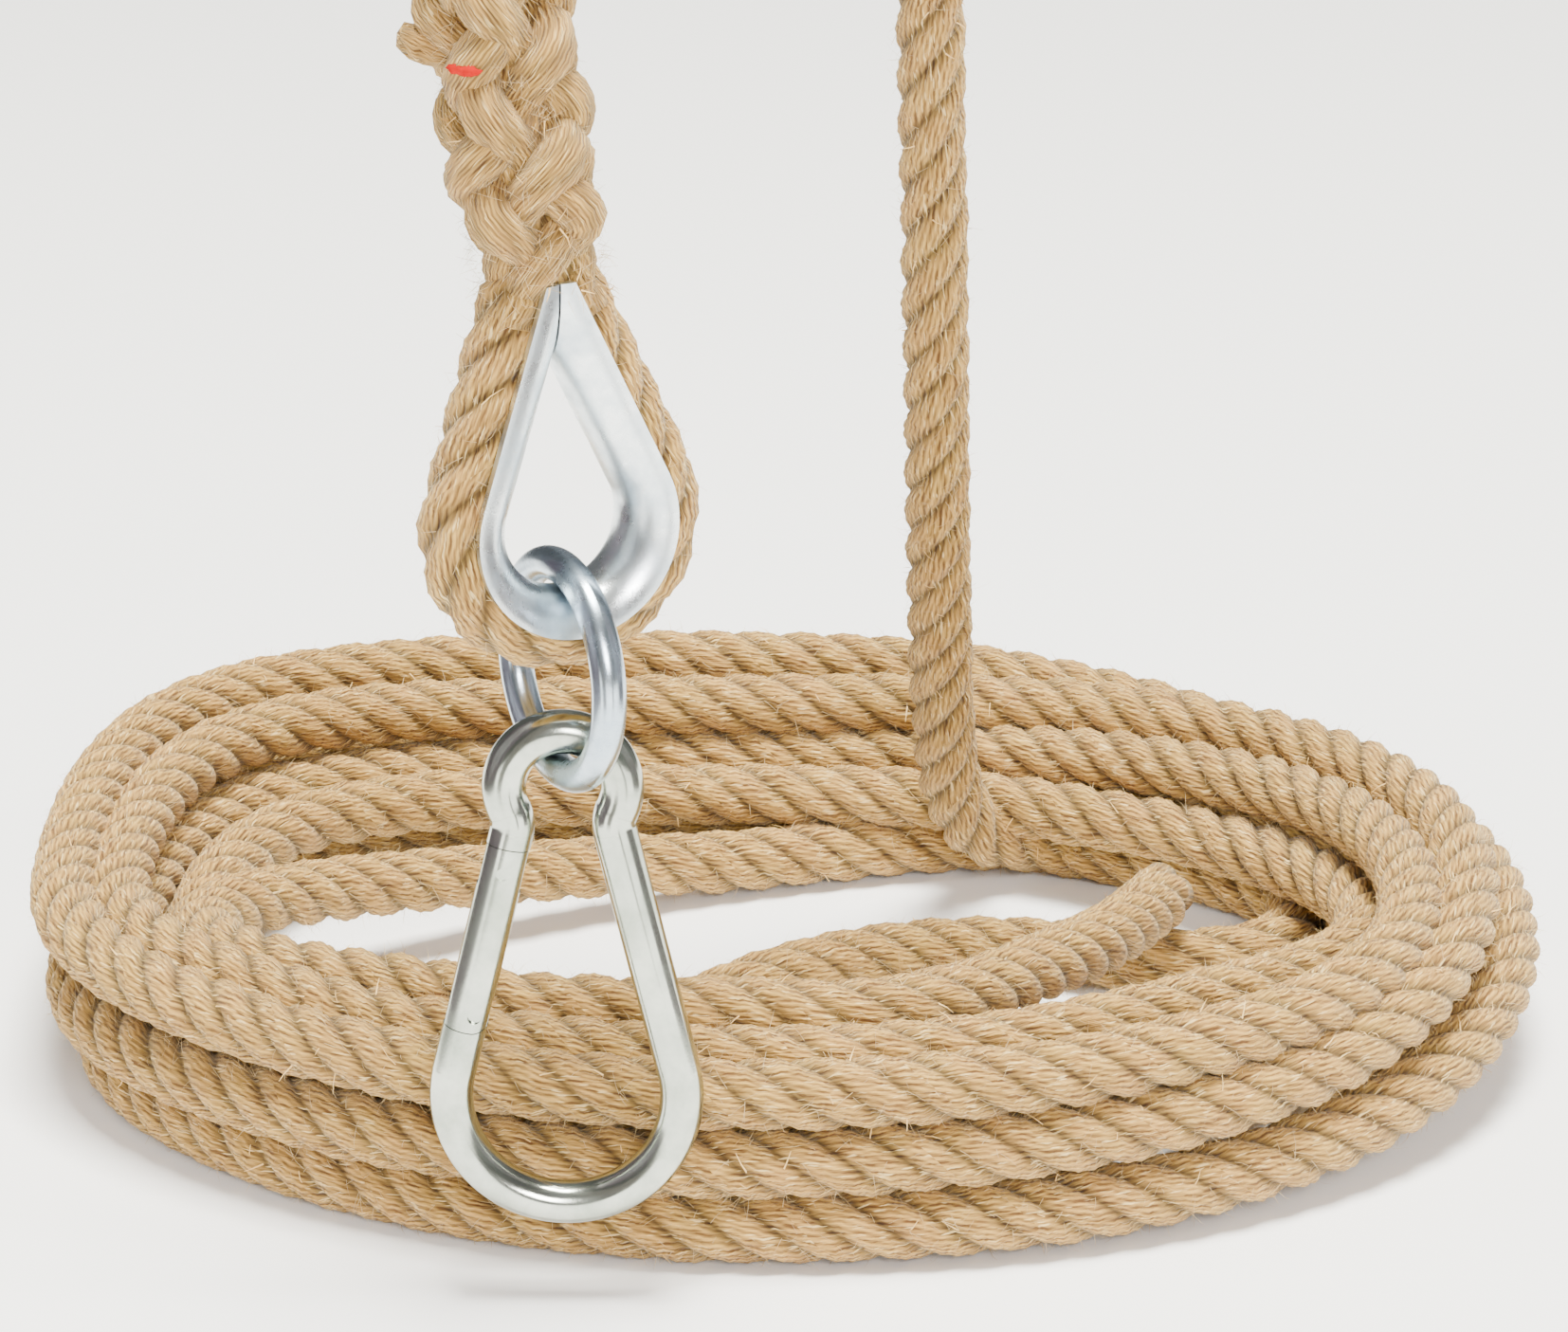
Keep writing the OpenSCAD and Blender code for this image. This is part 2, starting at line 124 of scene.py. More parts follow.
# Round the thimble: two straight legs that part below the throat, and the bend between them
EYE_BEND = 32.5
THROAT_HALF, LEG_SPREAD = 5.6, 24.5
THROAT_UP, LEG_DROP = 73, 60.8
eye_leg = [in_eye(THROAT_HALF + LEG_SPREAD * t, THROAT_UP - LEG_DROP * t) for t in (0, 0.2, 0.4, 0.6, 0.8)]
crown = [in_eye(EYE_BEND * math.cos(math.radians(a)), EYE_BEND * math.sin(math.radians(a)))
         for a in range(22, -203, -12)]
far_leg = [in_eye(-THROAT_HALF - LEG_SPREAD * t, THROAT_UP - LEG_DROP * t) for t in (0.8, 0.6, 0.4, 0.2, 0)]
throat = [(-71.5, -200, 332), (-74, -198, 348), (-79, -194, 380), (-83.5, -190.5, 408)]
arch = [(44, -22, 405), (40, -38, 450), (29, -58, 492), (9, -84, 525), (-20, -112, 537),
        (-50, -139, 530), (-74, -172, 509), (-88, -196, 479), (-89, -209, 443)]
riser = [(88, 139, 15), (71, 127, 22), (60, 112, 42), (55, 90, 78), (52, 58, 140), (50, 30, 210),
         (48, 9, 280), (46, -7, 345)]
inner_run = [(112, 141, 12), (145, 130, 12), (170, 104, 12), (177, 70, 12), (163, 38, 12),
             (132, 28, 12), (98, 37, 12), (60, 40, 12), (22, 28, 12), (-12, 2, 12), (-40, -34, 12),
             (-58, -75, 12), (-54, -114, 12), (-32, -142, 12)]
tail = [(50, 146, 12), (20, 138, 12), (-20, 124, 13), (-60, 105, 18), (-117, 71, 26), (-156, 40, 33),
        (-183, 2, 41), (-189, -42, 48), (-167, -85, 54), (-122, -118, 59), (-75, -140, 61),
        (-20, -149, 63), (22, -148, 62), (51, -126, 58), (83, -75, 50), (107, -26, 42), (128, 32, 34)]


def from_coil(points):
    return [Vector((x, y + COIL_BACK, z)) for x, y, z in points]


route = (far_leg[::-1] + crown[::-1] + eye_leg[::-1] + [Vector(p) for p in throat]
         + from_coil(arch[::-1] + riser[::-1] + inner_run + wound + tail))


def smooth_line(points, step):
    """Points a fixed step apart along a smooth line through the given ones."""
    fine = []
    for i in range(len(points) - 1):
        a, b = points[max(i - 1, 0)], points[i]
        c, d = points[i + 1], points[min(i + 2, len(points) - 1)]
        ab, bc, cd = (max((q - p).length, 1e-6) ** 0.5 for p, q in ((a, b), (b, c), (c, d)))
        m1 = (c - b) + bc * ((b - a) / ab - (c - a) / (ab + bc)) if i else c - b
        m2 = (c - b) + bc * ((d - c) / cd - (d - b) / (bc + cd)) if i < len(points) - 2 else c - b
        n = max(2, int((c - b).length))
        for k in range(n):
            t = k / n
            fine.append((2 * t ** 3 - 3 * t * t + 1) * b + (t ** 3 - 2 * t * t + t) * m1
                        + (3 * t * t - 2 * t ** 3) * c + (t ** 3 - t * t) * m2)
    fine.append(points[-1])
    total = sum((q - p).length for p, q in zip(fine, fine[1:]))
    n = round(total / step)
    out, along, i = [fine[0]], 0.0, 0
    for k in range(1, n):
        want = k * total / n
        while along + (fine[i + 1] - fine[i]).length < want:
            along += (fine[i + 1] - fine[i]).length
            i += 1
        out.append(fine[i].lerp(fine[i + 1], (want - along) / (fine[i + 1] - fine[i]).length))
    return out + [fine[-1]]


POINT_STEP = 5.2
centre = [p / 1000 for p in smooth_line(route, POINT_STEP)]


# The rope
# Four right-handed strands, hard laid. Each strand shows as a bulge that climbs round the rope,
# and no two bulges are quite alike.
def sides_along(line):
    """A pair of directions square to the line at each point, carried along without twisting."""
    pairs, across = [], None
    for i in range(len(line)):
        ahead = (line[min(i + 1, len(line) - 1)] - line[max(i - 1, 0)]).normalized()
        if across is None:
            across = ahead.orthogonal().normalized()
        across = (across - ahead * across.dot(ahead)).normalized()
        pairs.append((across, ahead.cross(across)))
    return pairs


LAY_ROUND = 0.011
CAP_OUT, CAP_GROOVE_SHADE = 0.001, 0.3


def swept(name, line, outline_at, corners):
    """A closed tube along the line, capped at both ends. outline_at gives each ring's radii, their
    turn, and how far out of the grooves each corner stands. The UV map runs along and round it."""
    verts, faces, uvs, groove_shade = [], [], [], []
    pairs = sides_along(line)
    along = 0.0
    for i, (p, (u, v)) in enumerate(zip(line, pairs)):
        if i:
            along += (p - line[i - 1]).length
        radii, turn, depth = outline_at(i, along)
        for k in range(corners):
            a = turn + 2 * math.pi * k / corners
            verts.append(p + (u * math.cos(a) + v * math.sin(a)) * radii[k])
            groove_shade.append(depth[k])
        uvs.append((along, turn))
    for i in range(len(line) - 1):
        for k in range(corners):
            m = (k + 1) % corners
            faces.append((i * corners + k, i * corners + m, (i + 1) * corners + m, (i + 1) * corners + k))
    last = (len(line) - 1) * corners
    first_tip, last_tip = len(verts), len(verts) + 1
    verts.append(line[0] - (line[1] - line[0]).normalized() * CAP_OUT)
    verts.append(line[-1] + (line[-1] - line[-2]).normalized() * CAP_OUT)
    groove_shade += [CAP_GROOVE_SHADE, CAP_GROOVE_SHADE]
    for k in range(corners):
        m = (k + 1) % corners
        faces.append((first_tip, m, k))
        faces.append((last_tip, last + k, last + m))
    mesh = bpy.data.meshes.new(name)
    mesh.from_pydata(verts, [], faces)
    # This attribute holds how deep each corner sits in a groove; the hemp colour is painted darker by it as
    # shade. The end caps get a middling value, so they are painted a little darker too.
    mesh.attributes.new("groove_shade", "FLOAT", "POINT").data.foreach_set("value", groove_shade)
    layer = mesh.uv_layers.new(name="lay").data
    side = (len(line) - 1) * corners
    for n in range(side):
        i, k = divmod(n, corners)
        for c, (ring, step) in enumerate(((i, k), (i, k + 1), (i + 1, k + 1), (i + 1, k))):
            s, turn = uvs[ring]
            layer[n * 4 + c].uv = (s, (turn + 2 * math.pi * step / corners) * LAY_ROUND)
    for n in range(side * 4, len(mesh.loops)):
        v = mesh.vertices[mesh.loops[n].vertex_index].co
        layer[n].uv = (v.x + v.y, v.z)
    mesh.shade_smooth()
    piece = bpy.data.objects.new(name, mesh)
    bpy.context.collection.objects.link(piece)
    return piece


LAY = 0.066
ROPE_CORNERS = 32
STRAND_RADIUS, STRAND_OFF_MIDDLE = 0.0065, 0.0048
GROOVE_RADIUS, GROOVE_DEPTH = 0.0089, 0.0024
rope_radii, rope_groove_shade = [], []
for k in range(ROPE_CORNERS):
    d = (2 * math.pi * k / ROPE_CORNERS + math.pi / 4) % (math.pi / 2) - math.pi / 4
    off_line = STRAND_OFF_MIDDLE * math.sin(d)
    r = STRAND_OFF_MIDDLE * math.cos(d) + math.sqrt(STRAND_RADIUS ** 2 - off_line ** 2)
    rope_radii.append(r)
    # How deep each corner sits in a groove; this paints shade into the rope's grooves.
    rope_groove_shade.append((r - GROOVE_RADIUS) / GROOVE_DEPTH)

random.seed(4)
wander = [random.uniform(-1, 1) for _ in range(4000)]
BULGE_LENGTH, BULGE_UNEVEN, SKIN_UNEVEN = 0.0165, 0.00022, 0.00012
END_DRAWN_IN, END_OPENS_OVER = 0.75, 0.012


def rope_ring(i, along):
    """The rope's outline, a little uneven from one bulge to the next."""
    radii = []
    for k, r in enumerate(rope_radii):
        strand = int((k / ROPE_CORNERS * 4 + 0.5)) % 4
        bump = wander[(int(along / BULGE_LENGTH) * 4 + strand) % 4000] * BULGE_UNEVEN
        radii.append(r + bump + SKIN_UNEVEN * wander[(i * 7 + k // 3) % 4000])
    end = min(1, END_DRAWN_IN + along / END_OPENS_OVER)
    return [r * end for r in radii], 2 * math.pi * along / LAY, rope_groove_shade


rope = swept("hemp_rope", centre, rope_ring, ROPE_CORNERS)
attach(rope, "root")
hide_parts("rope_coil", "rope_inner_run", "rope_riser", "rope_arch", "rope_eye", "rope_tail")

# Hemp
# Coarse golden-brown bast fibre in yarns that run along the rope, dull, with straw-coloured flecks painted
# as highlights where bundles catch the light, and painted shade, darker and redder, in the grooves between
# the strands and between the splice's yarns.
def group_socket(group, name, kind, way, value=None):
    socket = group.interface.new_socket(name=name, in_out=way, socket_type=kind)
    if value is not None:
        socket.default_value = value
    return socket


yarn_look = bpy.data.node_groups.new("hemp_yarn", "ShaderNodeTree")
group_socket(yarn_look, "Yarns", "NodeSocketFloat", "INPUT", 165.0)
group_socket(yarn_look, "Light", "NodeSocketColor", "INPUT", (0.62, 0.47, 0.28, 1))
group_socket(yarn_look, "Dark", "NodeSocketColor", "INPUT", (0.30, 0.19, 0.11, 1))
group_socket(yarn_look, "Straw_highlight", "NodeSocketColor", "INPUT", (0.84, 0.62, 0.27, 1))
group_socket(yarn_look, "Color", "NodeSocketColor", "OUTPUT")
group_socket(yarn_look, "Height", "NodeSocketFloat", "OUTPUT")


def node(tree, kind, at=(0, 0), **settings):
    n = tree.nodes.new(kind)
    n.location = at
    for key, value in settings.items():
        setattr(n, key, value)
    return n


YARN_SLANT = math.radians(-14)


def fill_yarn_look(tree):
    """Long noise for the fibres, bands for the yarns, patches of gold and rust, painted shade in the grooves
    and a few straw flecks painted as highlights. The UV map follows the strands, so the fibres do too."""
    link = tree.links.new
    given = node(tree, "NodeGroupInput", (-1400, 0))
    out = node(tree, "NodeGroupOutput", (900, 0))
    uv = node(tree, "ShaderNodeUVMap", (-1400, 300), uv_map="lay")
    thread = node(tree, "ShaderNodeMapping", (-1200, 300))
    thread.inputs["Scale"].default_value = (70, 1000, 1)
    thread.inputs["Rotation"].default_value = (0, 0, YARN_SLANT)
    link(uv.outputs[0], thread.inputs[0])
    fine = node(tree, "ShaderNodeTexNoise", (-1000, 400))
    fine.inputs["Scale"].default_value = 1.0
    fine.inputs["Detail"].default_value = 3
    fine.inputs["Roughness"].default_value = 0.6
    link(thread.outputs[0], fine.inputs["Vector"])
    wide = node(tree, "ShaderNodeMapping", (-1200, 0))
    wide.inputs["Rotation"].default_value = (0, 0, YARN_SLANT)
    link(uv.outputs[0], wide.inputs[0])
    yarns = node(tree, "ShaderNodeTexWave", (-1000, 0), wave_type="BANDS", bands_direction="Y")
    yarns.inputs["Distortion"].default_value = 6.0
    yarns.inputs["Detail"].default_value = 2
    yarns.inputs["Detail Scale"].default_value = 0.6
    link(wide.outputs[0], yarns.inputs["Vector"])
    link(given.outputs["Yarns"], yarns.inputs["Scale"])
    place = node(tree, "ShaderNodeTexCoord", (-1400, -400))
    patch = node(tree, "ShaderNodeTexNoise", (-1000, -300))
    patch.inputs["Scale"].default_value = 70
    patch.inputs["Detail"].default_value = 4
    link(place.outputs["Object"], patch.inputs["Vector"])
    groove_shade = node(tree, "ShaderNodeAttribute", (-1000, -600), attribute_name="groove_shade")
    shade = node(tree, "ShaderNodeMath", (-700, 300), operation="MULTIPLY_ADD")
    shade.inputs[1].default_value = 0.85
    link(fine.outputs[0], shade.inputs[0])
    some = node(tree, "ShaderNodeMath", (-850, 0), operation="MULTIPLY")
    some.inputs[1].default_value = 0.17
    link(yarns.outputs[0], some.inputs[0])
    link(some.outputs[0], shade.inputs[2])
    body = node(tree, "ShaderNodeMix", (-450, 200), data_type="RGBA")
    spread = node(tree, "ShaderNodeMapRange", (-600, 100))
    spread.inputs["From Min"].default_value = 0.34
    spread.inputs["From Max"].default_value = 0.66
    link(shade.outputs[0], spread.inputs["Value"])
    link(spread.outputs[0], body.inputs["Factor"])
    link(given.outputs["Dark"], body.inputs["A"])
    link(given.outputs["Light"], body.inputs["B"])
    gold = node(tree, "ShaderNodeMix", (-250, 100), data_type="RGBA", blend_type="MULTIPLY")
    gold.inputs["Factor"].default_value = 0.8
    tint = node(tree, "ShaderNodeMix", (-450, -250), data_type="RGBA")
    tint.inputs["A"].default_value = (1.0, 0.80, 0.74, 1)
    tint.inputs["B"].default_value = (0.98, 1.0, 0.68, 1)
    link(patch.outputs[0], tint.inputs["Factor"])
    link(body.outputs["Result"], gold.inputs["A"])
    link(tint.outputs["Result"], gold.inputs["B"])
    # Painted shade: the colour is multiplied darker the deeper a point sits in a groove.
    painted_groove_shade = node(tree, "ShaderNodeMapRange", (-450, -550))
    painted_groove_shade.inputs["From Min"].default_value = -0.1
    painted_groove_shade.inputs["From Max"].default_value = 0.75
    painted_groove_shade.inputs["To Min"].default_value = 0.15
    painted_groove_shade.inputs["To Max"].default_value = 1.0
    link(groove_shade.outputs["Fac"], painted_groove_shade.inputs["Value"])
    groove_shaded = node(tree, "ShaderNodeMix", (0, 0), data_type="RGBA", blend_type="MULTIPLY")
    groove_shaded.inputs["Factor"].default_value = 1
    link(gold.outputs["Result"], groove_shaded.inputs["A"])
    link(painted_groove_shade.outputs[0], groove_shaded.inputs["B"])
    # Painted highlights: sparse straw-coloured flecks stand in for fibres catching the light, over the straw
    # tone the hemp really has here and there.
    glint = node(tree, "ShaderNodeMapping", (-1200, -800))
    glint.inputs["Scale"].default_value = (150, 1100, 1)
    link(uv.outputs[0], glint.inputs[0])
    flecks = node(tree, "ShaderNodeTexNoise", (-1000, -850))
    flecks.inputs["Scale"].default_value = 1.0
    flecks.inputs["Detail"].default_value = 1
    link(glint.outputs[0], flecks.inputs["Vector"])
    few = node(tree, "ShaderNodeMapRange", (-700, -850))
    few.inputs["From Min"].default_value = 0.62
    few.inputs["From Max"].default_value = 0.70
    few.inputs["To Max"].default_value = 0.75
    link(flecks.outputs[0], few.inputs["Value"])
    highlighted = node(tree, "ShaderNodeMix", (250, 0), data_type="RGBA")
    link(few.outputs[0], highlighted.inputs["Factor"])
    link(groove_shaded.outputs["Result"], highlighted.inputs["A"])
    link(given.outputs["Straw_highlight"], highlighted.inputs["B"])
    link(highlighted.outputs["Result"], out.inputs["Color"])
    link(shade.outputs[0], out.inputs["Height"])


fill_yarn_look(yarn_look)


def hemp_finish(name, light, dark, bump):
    made = bpy.data.materials.new(name)
    made.use_nodes = True
    tree = made.node_tree
    shader = tree.nodes["Principled BSDF"]
    shader.inputs["Roughness"].default_value = 0.82
    shader.inputs["Specular IOR Level"].default_value = 0.28
    shader.inputs["Sheen Weight"].default_value = 0.25
    shader.inputs["Sheen Roughness"].default_value = 0.45
    shader.inputs["Sheen Tint"].default_value = (1.0, 0.92, 0.72, 1)
    look = node(tree, "ShaderNodeGroup", (-500, 0), node_tree=yarn_look)
    look.inputs["Light"].default_value = light
    look.inputs["Dark"].default_value = dark
    rough = node(tree, "ShaderNodeBump", (-250, -200))
    rough.inputs["Strength"].default_value = bump
    rough.inputs["Distance"].default_value = 0.0012
    tree.links.new(look.outputs["Color"], shader.inputs["Base Color"])
    tree.links.new(look.outputs["Height"], rough.inputs["Height"])
    tree.links.new(rough.outputs[0], shader.inputs["Normal"])
    return made


hemp = hemp_finish("laid_hemp", (0.60, 0.385, 0.118, 1), (0.115, 0.052, 0.013, 1), 1.0)
rope.data.materials.append(hemp)

# The splice
# The eye's end is unlaid, and its four strands are tucked back against the lay, over one and
# under one, so they cross the standing strands in a fat plait that ends in cut strands.
SPLICE_AT = Vector((-68.65, -199.07, 316.32)) / 1000
splice_turn = Matrix.Rotation(math.radians(-9), 4, "Y") @ Matrix.Rotation(math.radians(-6), 4, "X")
splice_place = Matrix.Translation(SPLICE_AT) @ splice_turn
ROUND = 20
YARNS_IN_STRAND = 5
YARN_LAY = 0.055


def yarn_ring(thick):
    """One strand's outline, with its five yarns standing a little proud."""
    def ring(i, along):
        radii, depth = [], []
        for k in range(ROUND):
            yarn = math.cos(YARNS_IN_STRAND * 2 * math.pi * k / ROUND)
            radii.append(thick[i] * (1 + 0.035 * yarn + 0.03 * wander[(i * 5 + k) % 4000]))
            # Painted shade between the yarns: the hollows between them get a darker colour.
            depth.append(0.62 + 0.22 * yarn)
        return radii, 2 * math.pi * along / YARN_LAY, depth
    return ring


# Four strands climb one way and four the other. At the foot they blend into the eye's two legs,
# which stand side by side along LEG_WAY, and from TAPER_FROM up they thin out.
plait = []
LEG_WAY = math.radians(28)
STANDING_LAY, TUCKED_LAY = 0.100, 0.150
FOOT, STEP_UP, STEPS = -0.015, 0.0018, 78
SWELLS_OVER = 0.030
TAPER_FROM, TAPER_OVER, TAPER_BY = 0.086, 0.055, 0.62
STRAND_THICK, CROSSING = 0.0068, 0.0036
BLEND_TOP, BLEND_OVER = 0.013, 0.026
BESIDE, LEG_OUT, LEGS_CLOSE = 0.0028, 0.0062, 0.42
for family, lay in ((1, STANDING_LAY), (-1, TUCKED_LAY)):
    for strand in range(4):
        line, thick = [], []
        start = strand * math.pi / 2 + (0.35 if family > 0 else 0)
        leg = math.copysign(1, math.cos(start - LEG_WAY))
        beside = math.copysign(BESIDE, math.sin(start - LEG_WAY))
        for step in range(STEPS):
            z = FOOT + step * STEP_UP
            wave = math.cos(2 * (2 * math.pi / STANDING_LAY + 2 * math.pi / TUCKED_LAY) * z)
            grow = min(1, (z - FOOT) / SWELLS_OVER)
            thin = 1 - max(0.0, (z - TAPER_FROM) / TAPER_OVER) * TAPER_BY
            middle = (0.0068 + 0.0058 * grow + 0.0007 * math.sin(z * 170 + strand * 2.1)) * thin
            r = middle + family * wave * CROSSING * thin
            a = start + family * 2 * math.pi * z / lay + 0.10 * math.sin(z * 130 + strand * 1.7)
            foot = max(0.0, min(1.0, (BLEND_TOP - z) / BLEND_OVER))
            across = leg * (LEG_OUT - LEGS_CLOSE * z)
            leg_x = across * math.cos(LEG_WAY) - beside * math.sin(LEG_WAY)
            leg_y = across * math.sin(LEG_WAY) + beside * math.cos(LEG_WAY)
            x = r * math.cos(a) * (1 - foot) + leg_x * foot
            y = r * math.sin(a) * (1 - foot) + leg_y * foot
            line.append(splice_place @ Vector((x, y, z)))
            thick.append(STRAND_THICK * (0.72 + 0.28 * grow) * (1 + 0.10 * family * wave))
        plait.append(swept(f"splice_strand_{len(plait)}", line, yarn_ring(thick), ROUND))


def joined(strands, name):
    """The strands as one piece, with nothing else selected while they are joined."""
    for obj in bpy.context.selected_objects:
        obj.select_set(False)
    for strand in strands:
        strand.select_set(True)
    bpy.context.view_layer.objects.active = strands[0]
    bpy.ops.object.join()
    bundle = bpy.context.object
    bundle.name = name
    return bundle


splice = joined(plait, "eye_splice")
splice.data.materials.append(hemp)
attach(splice, "root")
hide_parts("rope_splice")

# The tucked strands' cut ends
# Short tufts that stand out where each strand was trimmed, opened a little at the tip.
TUFT_FLARE = [0.0050, 0.0054, 0.0057, 0.0058, 0.0056, 0.0050, 0.0041, 0.0028]
TUFT_STEP = 0.0022
TUFT_ROOT = 0.014


def tuft_ring(i, along):
    """A tuft's outline, more ragged towards its tip."""
    ragged = 0.04 + 0.05 * i
    radii = [TUFT_FLARE[i] * (1 + ragged * wander[(i * 3 + k * 11) % 4000]) for k in range(ROUND)]
    return radii, along * 60, [0.8] * ROUND


tufts = []
for turn, height in ((183, 0.063), (95, 0.066), (20, 0.075), (130, 0.087)):
    a = math.radians(turn)
    out = Vector((math.cos(a), math.sin(a), 0))
    base = Vector((0, 0, height)) + out * TUFT_ROOT
    lean = out * 0.88 + Vector((0, 0, 0.47))
    line = [splice_place @ (base + lean * TUFT_STEP * s) for s in range(len(TUFT_FLARE))]
    tufts.append(swept(f"strand_end_{len(tufts)}", line, tuft_ring, ROUND))
ends = joined(tufts, "strand_ends")
ends.data.materials.append(hemp)
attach(ends, "root")
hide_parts("splice_strand_ends")

# The marker yarn
# One red yarn laid across the splice's face, which the maker puts in to tell the rope's kind.
MARKER_POINTS, MARKER_CORNERS = 15, 8
MARKER_OUT, MARKER_RADIUS, MARKER_RISE = 0.0222, 0.0019, 0.0605
MARKER_FROM, MARKER_STEP = 229, 1.9
marker_line = []
for step in range(MARKER_POINTS):
    a = math.radians(MARKER_FROM + step * MARKER_STEP)
    rise = MARKER_RISE + 0.0002 * math.sin(step * 1.4) - 0.00015 * step
    marker_line.append(splice_place @ Vector((MARKER_OUT * math.cos(a), MARKER_OUT * math.sin(a), rise)))


def marker_ring(i, along):
    """The yarn's outline, thinner at both ends where it dives under the strands."""
    ends_in = min(1, 0.35 + 0.22 * i, 0.35 + 0.22 * (MARKER_POINTS - 1 - i))
    radii = [MARKER_RADIUS * ends_in * (0.9 + 0.1 * wander[i * 9 + k]) for k in range(MARKER_CORNERS)]
    return radii, along * 900, [0.9] * MARKER_CORNERS


marker = swept("red_marker", marker_line, marker_ring, MARKER_CORNERS)
red = bpy.data.materials.new("red_yarn")
red.use_nodes = True
tree = red.node_tree
shader = tree.nodes["Principled BSDF"]
shader.inputs["Roughness"].default_value = 0.85
shader.inputs["Specular IOR Level"].default_value = 0.15
place = node(tree, "ShaderNodeTexCoord", (-900, 0))
fibres = node(tree, "ShaderNodeTexNoise", (-700, 0))
fibres.inputs["Scale"].default_value = 900
tone = node(tree, "ShaderNodeMix", (-400, 0), data_type="RGBA")
tone.inputs["A"].default_value = (0.34, 0.001, 0.0005, 1)
tone.inputs["B"].default_value = (0.56, 0.006, 0.001, 1)
tree.links.new(place.outputs["Object"], fibres.inputs["Vector"])
tree.links.new(fibres.outputs[0], tone.inputs["Factor"])
tree.links.new(tone.outputs["Result"], shader.inputs["Base Color"])
marker.data.materials.append(red)
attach(marker, "root")
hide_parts("marker_yarn")

# Loose fibres
# Hemp sheds short hairs all over, and here and there a stiffer straw-coloured bundle stands out.
random.seed(11)
rope_pairs = sides_along(centre)
ON_SPLICE = 0.05
ROPE_REACH, SPLICE_REACH = 0.0096, 0.0180
HAIR_FLOOR, HAIR_PAST_BOX = 0.0004, 0.008


def hairs(name, count, length, width, lift):
    """Flat hairs of three points each, rooted on the rope or the splice, kept above the floor and
    near the coil's box."""
    verts, faces = [], []
    low, high = Vector(cad_box[0]), Vector(cad_box[1])
    for _ in range(count):
        i = random.randrange(2, len(centre) - 2)
        at, reach = centre[i], ROPE_REACH
        u, v = rope_pairs[i]
        ahead = (centre[i + 1] - centre[i]).normalized()
        if random.random() < ON_SPLICE:
            at, reach = splice_place @ Vector((0, 0, random.uniform(-0.01, 0.11))), SPLICE_REACH
            u, v, ahead = (splice_turn.col[c].to_3d() for c in range(3))
        a = random.uniform(0, 2 * math.pi)
        out = u * math.cos(a) + v * math.sin(a)
        side = ahead.cross(out)
        way = (ahead * random.uniform(-1, 1) + side * random.uniform(-0.8, 0.8)).normalized()
        root = at + out * reach
        long = length * random.uniform(0.4, 1.3)
        rise = lift * random.uniform(0.2, 1.3)
        bend = side * random.uniform(-0.3, 0.3)
        across = way.cross(out).normalized() * width * random.uniform(0.6, 1.2)
        start = len(verts)
        for s in (0, 0.5, 1):
            p = root + way * long * s + out * (long * rise * s + 0.0012 * (s > 0)) + bend * long * s * s
            p.x = min(max(p.x, low.x - HAIR_PAST_BOX), high.x + HAIR_PAST_BOX)
            p.y = min(max(p.y, low.y - HAIR_PAST_BOX), high.y + HAIR_PAST_BOX)
            p.z = max(p.z, HAIR_FLOOR)
            verts += [p - across * (1 - 0.7 * s), p + across * (1 - 0.7 * s)]
        for s in range(2):
            b = start + 2 * s
            faces.append((b, b + 1, b + 3, b + 2))
    mesh = bpy.data.meshes.new(name)
    mesh.from_pydata(verts, [], faces)
    piece = bpy.data.objects.new(name, mesh)
    bpy.context.collection.objects.link(piece)
    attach(piece, "root")
    return piece


def fibre_finish(name, light, dark):
    made = bpy.data.materials.new(name)
    made.use_nodes = True
    tree = made.node_tree
    shader = tree.nodes["Principled BSDF"]
    shader.inputs["Roughness"].default_value = 0.6
    place = node(tree, "ShaderNodeTexCoord", (-900, 0))
    spots = node(tree, "ShaderNodeTexNoise", (-700, 0))
    spots.inputs["Scale"].default_value = 160
    tone = node(tree, "ShaderNodeMix", (-400, 0), data_type="RGBA")
    tone.inputs["A"].default_value = dark
    tone.inputs["B"].default_value = light
    tree.links.new(place.outputs["Object"], spots.inputs["Vector"])
    tree.links.new(spots.outputs[0], tone.inputs["Factor"])
    tree.links.new(tone.outputs["Result"], shader.inputs["Base Color"])
    return made


fuzz = hairs("hemp_fuzz", 34000, 0.0060, 0.00008, 0.40)
fuzz.data.materials.append(fibre_finish("hemp_hair", (0.70, 0.52, 0.26, 1), (0.36, 0.23, 0.10, 1)))
straw = hairs("straw_bits", 1500, 0.0060, 0.00026, 0.20)
straw.data.materials.append(fibre_finish("straw", (0.90, 0.64, 0.26, 1), (0.62, 0.34, 0.09, 1)))

# The floor and the light
# A pale floor that runs out of sight, large soft lights above, in front and at both sides, a grey
# surround with lighter bands, and four dark cards that only polished metal sees.
bpy.ops.mesh.primitive_plane_add(size=14, location=(0, 2, 0))
floor = bpy.context.object
floor.name = "floor"
paper = bpy.data.materials.new("pale_paper")
paper.use_nodes = True
paper.node_tree.nodes["Principled BSDF"].inputs["Base Color"].default_value = (0.97, 0.97, 0.97, 1)
paper.node_tree.nodes["Principled BSDF"].inputs["Roughness"].default_value = 0.9
floor.data.materials.append(paper)


LAMPS_AIM_AT = Vector((0, 0, 0.2))


def lamp(name, at, size, power, colour=(1, 1, 1)):
    bpy.ops.object.light_add(type="AREA", location=at)
    made = bpy.context.object
    made.name = name
    made.data.shape = "RECTANGLE"
    made.data.size, made.data.size_y = size
    made.data.energy = power
    made.data.color = colour
    made.rotation_euler = (LAMPS_AIM_AT - Vector(at)).to_track_quat("-Z", "Y").to_euler()


